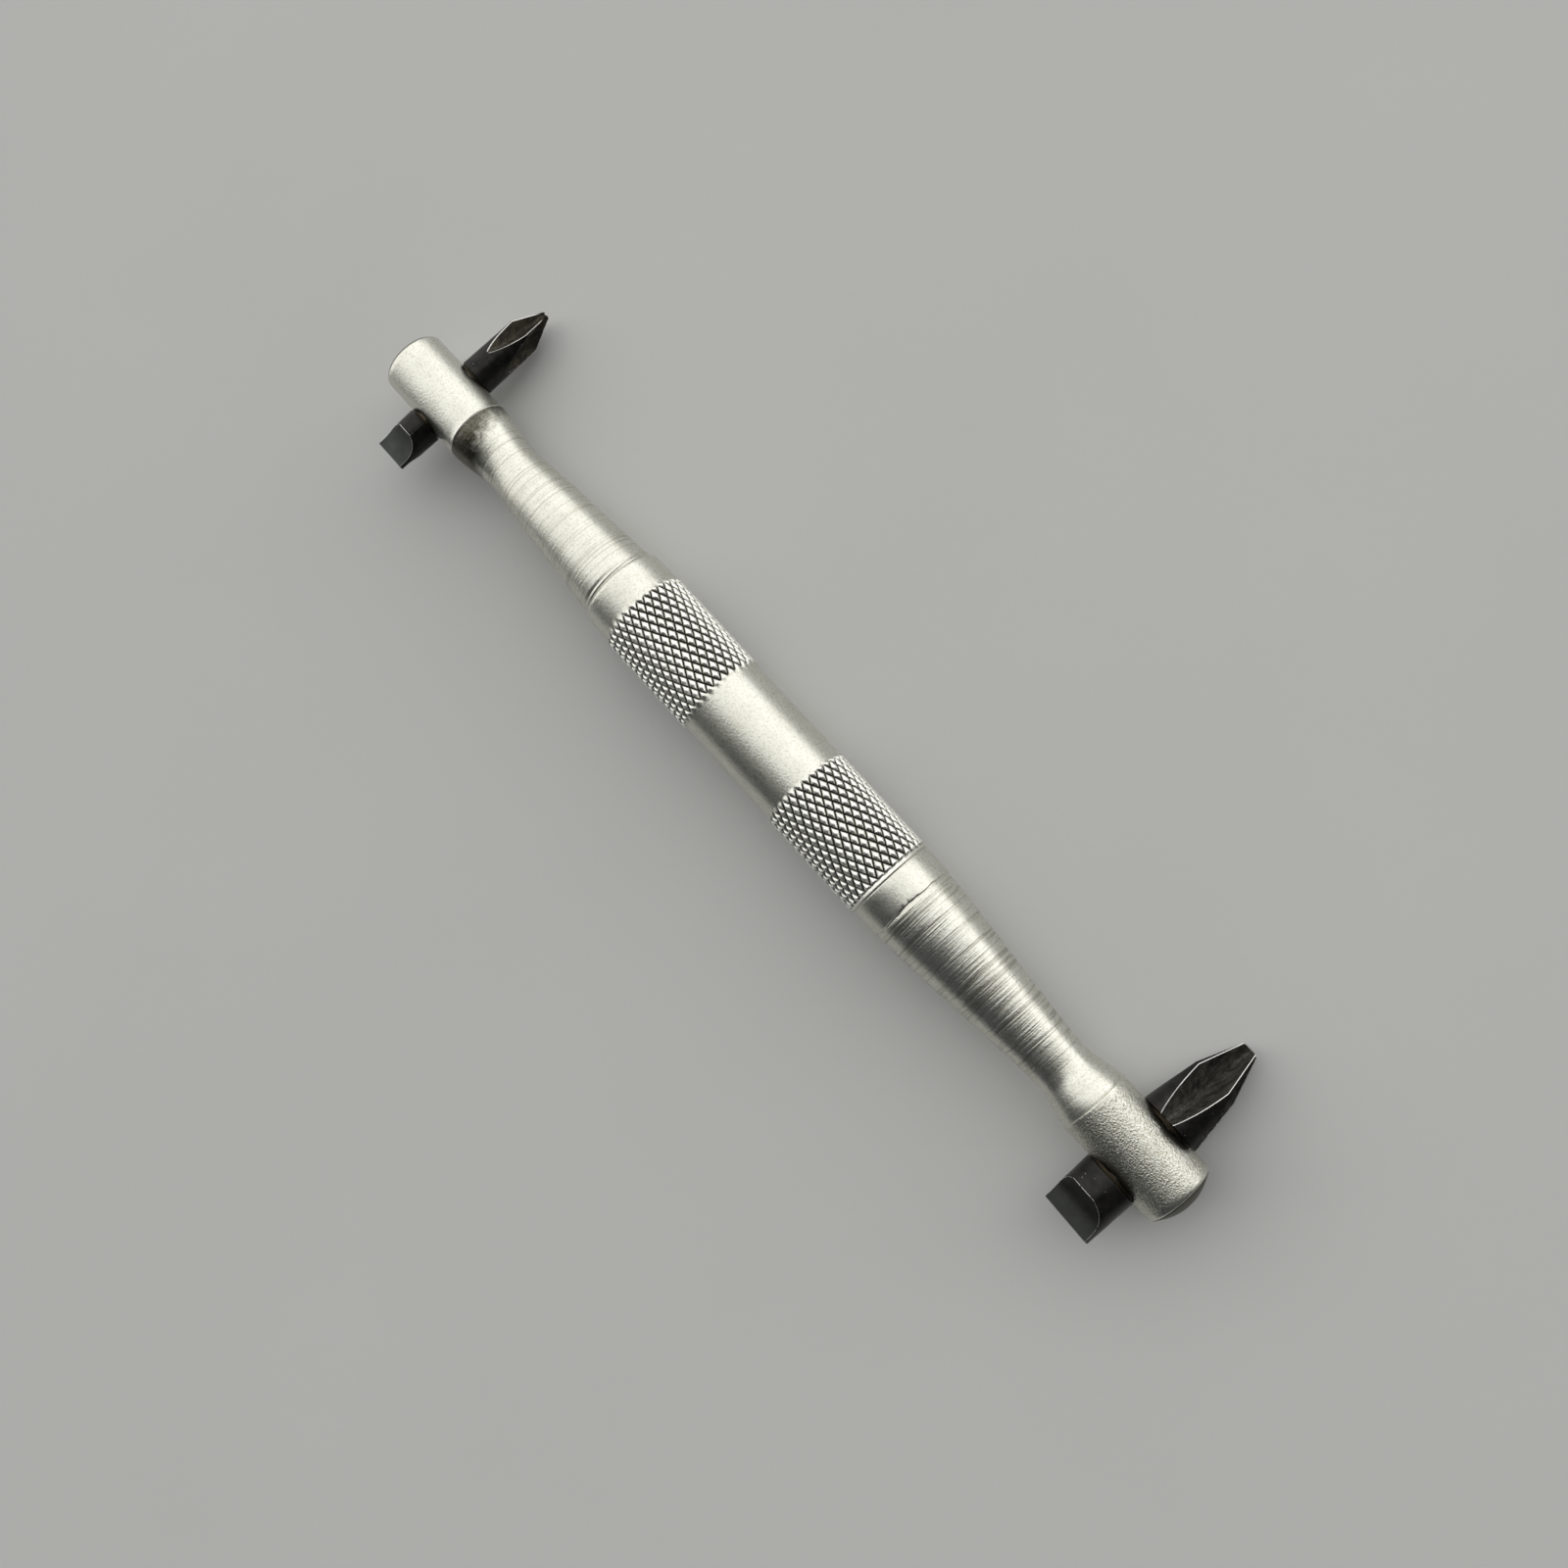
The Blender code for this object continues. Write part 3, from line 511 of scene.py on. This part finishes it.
def d_bore(name, centre, radius, flat, low, high, sides=40):
    bm = bmesh.new()
    drop = math.asin(flat / radius)
    span = math.pi + 2 * drop
    ring = [(radius * math.cos(-drop + span * k / sides), radius * math.sin(-drop + span * k / sides)) for k in range(sides + 1)]
    face = bm.faces.new([bm.verts.new(((centre[0] + low) * MM, (centre[1] + y) * MM, (centre[2] + z) * MM)) for y, z in ring])
    swept = bmesh.ops.extrude_face_region(bm, geom=[face])
    bmesh.ops.translate(bm, verts=[g for g in swept["geom"] if isinstance(g, bmesh.types.BMVert)], vec=((high - low) * MM, 0, 0))
    return temporary(name, bm)


def boolean(obj, other, operation):
    step = obj.modifiers.new("cut", "BOOLEAN")
    step.operation, step.solver, step.object = operation, "EXACT", other


def settle(obj):
    """Applies an object's modifiers."""
    bpy.context.view_layer.update()
    graph = bpy.context.evaluated_depsgraph_get()
    mesh = bpy.data.meshes.new_from_object(obj.evaluated_get(graph))
    obj.modifiers.clear()
    obj.data = mesh


def handle(material):
    verts, faces = bar_mesh()
    bar = new_object("bar", verts, faces, [material])
    used = []
    for end, h in HEADS.items():
        centre = (AXIS_X + h["at"], AXIS_Y, AXIS_Z)
        cutter = rod(end + "_cut", centre, "Y", h["bore"], -6.0, 6.0)
        low, high = sorted((h["out"] * 0.9, h["out"] * (h["rim"] - h["plug"] / 2)))
        others = [
            rod(end + "_cut_face", centre, "Y", h["face_r"], h["face"], 7.0),
            rod(end + "_cut_back", centre, "Y", h["face_r"], -7.0, -h["face"]),
            d_bore(end + "_cut_pawl", centre, h["pawl_r"], h["pawl_flat"], low, high),
        ]
        for o in others:
            boolean(cutter, o, "UNION")
        settle(cutter)
        boolean(bar, cutter, "DIFFERENCE")
        used += [cutter, *others]
    settle(bar)
    for o in used:
        bpy.data.objects.remove(o, do_unlink=True)
    bar.data.shade_smooth()
    bar.data.set_sharp_from_angle(angle=math.radians(32))
    flats = [h["face"] * MM for h in HEADS.values()]
    rims = {k for f in bar.data.polygons if abs(f.normal.y) > 0.999 and min(abs(abs(f.center.y) - y) for y in flats) < 1e-5 for k in f.edge_keys}
    for e in bar.data.edges:  # crisp rims round the spot faces
        if e.key in rims:
            e.use_edge_sharp = True
    return bar


# ---- tips ------------------------------------------------------------------------------------------------------

TIPS = {
    "far": dict(
        at=6.8, turn=-8.5, slot_turn=-8.5, base=4.08, square=2.24, tenon=2.05,
        d0=4.54, d1=4.28, shoulder=11.6, tip=15.2, tip_d=0.85, start=6.9, core=0.16, chamfer=0.075,
        s0=4.50, s1=4.40, step=6.30, step_h=1.90, slot_tip=9.65, thick=0.72,
    ),
    "near": dict(
        at=122.3, turn=-18.5, slot_turn=-30.5, base=4.27, square=2.54, tenon=2.35,
        d0=7.48, d1=6.66, shoulder=10.8, tip=15.95, tip_d=2.40, start=2.6, core=0.16, chamfer=0.070,
        s0=6.74, s1=6.60, step=7.10, step_h=2.82, slot_tip=10.70, thick=1.00,
    ),
}
WALL = 1.0 / math.tan(math.radians(46.0))
LAND = 9


def to_row(t, points, turn):
    """Points (across, along, up) about the tip's axis to the row frame."""
    c, s = math.cos(math.radians(turn)), math.sin(math.radians(turn))
    return [(AXIS_X + t["at"] + x * c + z * s, AXIS_Y + y, AXIS_Z - x * s + z * c) for x, y, z in points]


def square_ring(angles, half, y):
    """The socket's square outline seen at the same angles as the ring outside it."""
    return [(half * math.sin(a) / max(abs(math.sin(a)), abs(math.cos(a))), y, half * math.cos(a) / max(abs(math.sin(a)), abs(math.cos(a)))) for a in angles]


def cross_section(R, floor, round_r, chamfer, inner=10):
    """Angles and radii of one section; per quarter: land edge, flute points, land edge, land."""
    if floor >= R * 0.995:
        edge_s = 0.03 * R
        flute = [(edge_s * (2 * k / inner - 1)) for k in range(inner + 1)]
        points = [(s, math.sqrt(R * R - s * s)) for s in flute]
        cham = 0.004
    else:

        def depth(s):
            return floor + (math.sqrt(s * s + round_r * round_r) - round_r) * WALL

        low, high = 0.0, R
        for _ in range(40):
            mid = (low + high) / 2
            if mid * mid + depth(mid) ** 2 < R * R:
                low = mid
            else:
                high = mid
        edge_s = max(low, 0.03 * R)
        cham = min(chamfer, edge_s * 0.3)
        inside = edge_s - cham * 0.72
        points = []
        for k in range(inner + 1):
            s = inside * (2 * k / inner - 1)
            points.append((s, min(depth(abs(s)), math.sqrt(R * R - s * s))))
    edge_angle = math.asin(min(edge_s / R, 1.0)) + cham / R * 0.55
    quarter = [(-edge_angle, R)] + [(math.atan2(s, t), math.hypot(s, t)) for s, t in points] + [(edge_angle, R)]
    rest = math.pi / 2 - 2 * edge_angle
    quarter += [(edge_angle + rest * k / (LAND + 1), R) for k in range(1, LAND + 1)]
    return [(q * math.pi / 2 + a, r) for q in range(4) for a, r in quarter], len(quarter)


def cross_tip(end, t, materials):
    r_start = t["d0"] / 2 + (t["d1"] - t["d0"]) / 2 * (t["start"] - t["base"]) / (t["shoulder"] - t["base"])

    def radius(y):
        if y <= t["shoulder"]:
            return t["d0"] / 2 + (t["d1"] - t["d0"]) / 2 * (y - t["base"]) / (t["shoulder"] - t["base"])
        s = (y - t["shoulder"]) / (t["tip"] - t["shoulder"])
        return t["d1"] / 2 + (t["tip_d"] - t["d1"]) / 2 * s

    def floor(y):
        if y >= t["shoulder"]:
            return (t["core"] + 0.06) * radius(y)
        s = (t["shoulder"] - y) / (t["shoulder"] - t["start"])
        low = (t["core"] + 0.06) * t["d1"] / 2
        return low + (r_start - low) * (0.55 * s + 0.45 * s * s)

    low = max(t["start"], t["base"] + 0.12)
    heights = [t["base"], t["base"] + 0.06, t["base"] + 0.16]
    if t["start"] > t["base"] + 0.5:
        heights += [y for y in np.linspace(t["base"] + 0.6, t["start"] - 0.03, 5)]
    heights += [low + (t["shoulder"] - 0.06 - low) * (k / 22) ** 1.25 for k in range(1, 23)]
    heights += [y for y in np.linspace(t["shoulder"] + 0.06, t["tip"] - 0.07, 12)]
    rings, kinds, angles = [], [], None
    for i, y in enumerate(heights):
        R = radius(y) - (0.05 if i == 0 else 0.0)
        section, quarter = cross_section(R, floor(y), 0.07 * t["d1"] / 2, t["chamfer"])
        if i == 0:
            angles = [a for a, _ in section]
        rings.append([(r * math.sin(a), y, r * math.cos(a)) for a, r in section])
        kinds.append(floor(y) < R * 0.995)
    rings.append([(x * 0.80, t["tip"] + (0.0), z * 0.80) for x, _, z in rings[-1]])
    kinds.append(True)
    half = t["square"] / 2
    rings = [square_ring(angles, half, t["base"] + t["tenon"]), square_ring(angles, half, t["base"])] + rings
    kinds = [False] * 2 + kinds
    inner = quarter - 2 - LAND

    def group(i, j):
        if i == -2:
            return 1
        if i < 2 or not (kinds[i] and kinds[i + 1]):
            return 0
        if i == len(rings) - 2:
            return 1
        place = j % quarter
        # the edges of the upward flute take the bright worn edge; the other three flutes take the mostly black copy,
        # painted shade
        if place in (0, inner):
            return 1 if j < quarter else 3
        return 2 if place < inner else 0

    verts, faces, index = loft([to_row(t, r, t["turn"]) for r in rings], group)
    return new_object(end + "_cross_tip", verts, faces, materials, index, 24.0)


def slotted_tip(end, t, materials):
    flat_points, side_points = 12, 16
    R0, R1 = t["s0"] / 2, t["s1"] / 2

    def section(R, h, bevel):
        """Angles from the flat's normal, and radii: flat, edge, side, edge, flat, edge, side, edge."""
        if h >= R * 0.999:
            edge = math.acos(t["step_h"] / R1)
            flat = [(edge * (2 * k / flat_points - 1), R) for k in range(flat_points + 1)]
        else:
            edge = math.acos(h / R)
            inner = math.atan((math.tan(edge) * h - bevel * 0.7) / h)
            flat = [(inner * (2 * k / flat_points - 1), h / math.cos(inner * (2 * k / flat_points - 1))) for k in range(flat_points + 1)]
            edge += bevel / R * 0.6
        side = [(edge + (math.pi - 2 * edge) * k / side_points, R) for k in range(side_points + 1)]
        half = flat + side
        return half + [(a + math.pi, r) for a, r in half]

    def blade(s):
        return t["thick"] / 2 + (t["step_h"] - t["thick"] / 2) * (1 - s) ** 3

    plan = [(t["base"], R0 - 0.05, 9.0), (t["base"] + 0.06, R0, 9.0), ((t["base"] + t["step"]) / 2, (R0 + R1) / 2, 9.0), (t["step"] - 0.07, R1, 9.0)]
    plan += [(t["step"] - 0.015, R1 - 0.012, 9.0)]
    first_flat = len(plan)
    for k in range(25):
        s = (k / 24) ** 1.4
        y = t["step"] + s * (t["slot_tip"] - 0.06 - t["step"])
        plan.append((y, R1, blade(s)))
    rings = []
    for y, R, h in plan:
        rings.append([(r * math.sin(a), -y, r * math.cos(a)) for a, r in section(R, h, 0.07)])
    rings.append([(x * 0.985, -t["slot_tip"], z * 0.86) for x, _, z in rings[-1]])
    angles = [a for a, _ in section(R0, 9.0, 0.07)]
    half = t["square"] / 2
    rings = [square_ring(angles, half, -t["base"] - t["tenon"]), square_ring(angles, half, -t["base"])] + rings
    per = flat_points + 1 + side_points + 1

    def group(i, j):
        if i == -2:
            return 2
        if i < 2:
            return 0
        if i == len(rings) - 2:
            return 3
        ring = i - 2
        place = j % per
        on_flat = place < flat_points
        if ring == first_flat - 2:
            return 1 if (on_flat or place in (flat_points, per - 1)) else 0
        if ring < first_flat - 1:
            return 0
        if on_flat:
            return 2
        return 1 if place in (flat_points, per - 1) and ring > first_flat else 0

    verts, faces, index = loft([to_row(t, r, t["slot_turn"]) for r in rings], group)
    return new_object(end + "_slotted_tip", verts, faces, materials, index, 24.0)


# ---- end plugs -------------------------------------------------------------------------------------------------


def plug(end, material):
    h = HEADS[end]
    rim = 0.0 if end == "far" else NEAR_RIM
    dome = 1.2 if end == "far" else 1.4
    base = h["half"] / 2 - 0.22
    stem = 2.18 if end == "far" else 2.38
    pocket = 0.0 if end == "far" else 0.75
    ball = (base * base + dome * dome) / (2 * dome)
    profile = []
    for k in range(1, 22):
        r = (base - 0.06) * k / 21
        z = dome - ball + math.sqrt(ball * ball - r * r)
        profile.append((r, z))
    profile += [(base - 0.02, 0.09), (base, 0.05), (base, 0.02), (stem, 0.02), (stem, -h["plug"] + 0.06), (stem - 0.06, -h["plug"] + 0.02)]
    if pocket:
        profile += [(1.25, -h["plug"] + 0.02), (1.25, -h["plug"] + pocket), (0.3, -h["plug"] + pocket)]
    else:
        profile += [(0.3, -h["plug"] + 0.02)]
    n = 96
    rings = [[(AXIS_X + rim + h["out"] * z, AXIS_Y + r * math.cos(k * math.tau / n), AXIS_Z + r * math.sin(k * math.tau / n)) for k in range(n)] for r, z in profile]
    verts, faces, index = loft(rings)
    return new_object(end + "_plug", verts, faces, [material], None, 35.0)


# ---- put together ------------------------------------------------------------------------------------------------

bar_nickel = nickel_bar()
plug_shade_material = nickel_plug()
bar = handle(bar_nickel)
bar.data.transform(LAID)
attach(bar, "handle")
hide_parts("handle_bar")

for end, t in TIPS.items():
    black = black_oxide(end + "_black_oxide", 0.0 if end == "far" else 0.04)
    edge = worn_edge(end + "_worn_edge", 0.20 if end == "far" else 0.30)
    # mostly black copy of the worn edge: painted shade on the flute edges that face away from the light
    painted_shade_edge = worn_edge(end + "_painted_shade_edge", 0.58)
    step_edge = worn_edge(end + "_blade_edge", 0.34 if end == "far" else 0.42, (0.62, 0.61, 0.59) if end == "far" else (0.46, 0.46, 0.44))
    tip_edge = worn_edge(end + "_tip_edge", 0.24, (0.20, 0.21, 0.20) if end == "far" else (0.13, 0.14, 0.13))
    floor = flute_floor(end + "_flute_floor", 0.35 if end == "far" else 0.7, (0.085, 0.074, 0.052) if end == "far" else (0.080, 0.077, 0.066))
    # shade paints light and shade: the far blade is lighter, the near blade darker, for how each flat faces the light
    blade = blade_face(end + "_ground_blade", 0.56 if end == "far" else 0.26)
    cross = cross_tip(end, t, [black, edge, floor, painted_shade_edge])
    slotted = slotted_tip(end, t, [black, step_edge, blade, tip_edge])
    for piece, node in ((cross, end + "_phillips_bit"), (slotted, end + "_slotted_bit")):
        piece.data.transform(LAID)
        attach(piece, end + "_bit")
        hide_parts(node)
    cap = plug(end, plug_shade_material)
    cap.data.transform(LAID)
    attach(cap, "handle")
    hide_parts(end + "_end_plug")

ground = plain_steel("ground_steel", (0.60, 0.60, 0.61), (0.44, 0.44, 0.45), 0.22, 0.38, (3.0, 0.4, 3.0))
oiled = plain_steel("oiled_steel", (0.075, 0.066, 0.052), (0.050, 0.044, 0.034), 0.34, 0.50, (3.0, 0.4, 3.0))
drawn = plain_steel("drawn_wire", (0.34, 0.34, 0.36), (0.22, 0.22, 0.24), 0.25, 0.42, (5.0, 5.0, 5.0))
bronze = bronze_washer()
for name, node in NODES.items():
    finish = oiled if name.endswith("_spindle") else ground if name.endswith("_pawl") else drawn if name.endswith("_spring") else bronze if name.endswith("_washer") else None
    if finish:
        node.data.materials.clear()
        node.data.materials.append(finish)

# each spring's coil is copied into an object of its own with its transform baked in, and the spring from the model is
# hidden
for end in ("far", "near"):
    name = end + "_pawl_spring"
    coil = bpy.data.objects.new(end + "_coil", NODES[name].data.copy())
    coil.matrix_world = NODES[name].matrix_world.copy()
    bpy.context.scene.collection.objects.link(coil)
    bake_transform(coil)
    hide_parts(name)

# ---- stage -------------------------------------------------------------------------------------------------------


def floor_material():
    n = Nodes("pale_floor")
    cloud = n.noise(0.02, 3.0, 0.5)
    base = n.mix(cloud, (0.57, 0.57, 0.565), (0.61, 0.61, 0.605))
    return n.done(base, 0.75, 0.0)


bm = bmesh.new()
bmesh.ops.create_grid(bm, x_segments=1, y_segments=1, size=2.5)
mesh = bpy.data.meshes.new("floor")
bm.to_mesh(mesh)
bm.free()
floor = bpy.data.objects.new("floor", mesh)
mesh.materials.append(floor_material())
bpy.context.scene.collection.objects.link(floor)


RIGHT, UP, BACK = Vector((0.6672, 0.7383, -0.0987)), Vector((-0.7286, 0.6744, 0.1200)), Vector((0.1552, -0.0082, 0.9879))
BACK.normalize()
RIGHT = (RIGHT - RIGHT.dot(BACK) * BACK).normalized()
UP = BACK.cross(RIGHT)
EYE = Vector((29.24, -2.89, 165.96)) * MM  # from the middle of the bar's axis, tips level


def soft_room(name, way, bright, dim, low, high):
    """A broad soft light from one half of the room; way is (right, up, towards the eye) in the picture."""
    world = bpy.data.worlds.new(name)
    bpy.context.scene.world = world
    world.use_nodes = True
    tree = world.node_tree
    place = tree.nodes.new("ShaderNodeTexCoord")
    facing = tree.nodes.new("ShaderNodeVectorMath")
    facing.operation = "DOT_PRODUCT"
    tree.links.new(place.outputs["Generated"], facing.inputs[0])
    facing.inputs[1].default_value = (LAID.to_3x3() @ (RIGHT * way[0] + UP * way[1] + BACK * way[2])).normalized()
    share = tree.nodes.new("ShaderNodeMapRange")
    share.interpolation_type = "SMOOTHSTEP"
    tree.links.new(facing.outputs["Value"], share.inputs["Value"])
    share.inputs["From Min"].default_value, share.inputs["From Max"].default_value = low, high
    blend = tree.nodes.new("ShaderNodeMix")
    blend.data_type = "RGBA"
    tree.links.new(share.outputs["Result"], blend.inputs["Factor"])
    ends = [i for i in blend.inputs if i.type == "RGBA"]
    ends[0].default_value, ends[1].default_value = (*dim, 1.0), (*bright, 1.0)
    tree.links.new([o for o in blend.outputs if o.type == "RGBA"][0], tree.nodes["Background"].inputs["Color"])
    tree.nodes["Background"].inputs["Strength"].default_value = 1.0
    return world


soft_room("studio", (-0.24, 1.0, 0.0), (1.36, 1.355, 1.315), (0.048, 0.050, 0.051), -0.03, 0.13)


def area_light(name, way, distance, size, power, colour):
    """A soft panel seen from the tool at (right, up, towards the eye) in the picture."""
    lamp = bpy.data.lights.new(name, "AREA")
    lamp.shape = "RECTANGLE"
    lamp.size, lamp.size_y = size
    lamp.energy = power
    lamp.color = colour
    obj = bpy.data.objects.new(name, lamp)
    aim = (LAID.to_3x3() @ (RIGHT * way[0] + UP * way[1] + BACK * way[2])).normalized()
    obj.location = aim * distance
    obj.rotation_euler = aim.to_track_quat("Z", "Y").to_euler()
    bpy.context.scene.collection.objects.link(obj)
    return obj


area_light("key", (0.30, 0.75, 0.58), 0.70, (0.80, 0.56), 0.25, (1.0, 0.99, 0.965))
area_light("side", (0.87, 0.38, 0.40), 0.70, (0.60, 0.40), 0.36, (1.0, 0.99, 0.965))

camera = bpy.data.cameras.new("camera")
camera.sensor_fit = "AUTO"
camera.sensor_width = 36.0
camera.lens = 36.0 * 1534.0 / 1600.0
camera.clip_start, camera.clip_end = 0.01, 20.0
view = bpy.data.objects.new("camera", camera)
view.matrix_world = LAID @ Matrix.Translation(EYE) @ Matrix((RIGHT, UP, BACK)).transposed().to_4x4()
bpy.context.scene.collection.objects.link(view)
bpy.context.scene.camera = view
bpy.context.scene.view_settings.view_transform = "Standard"
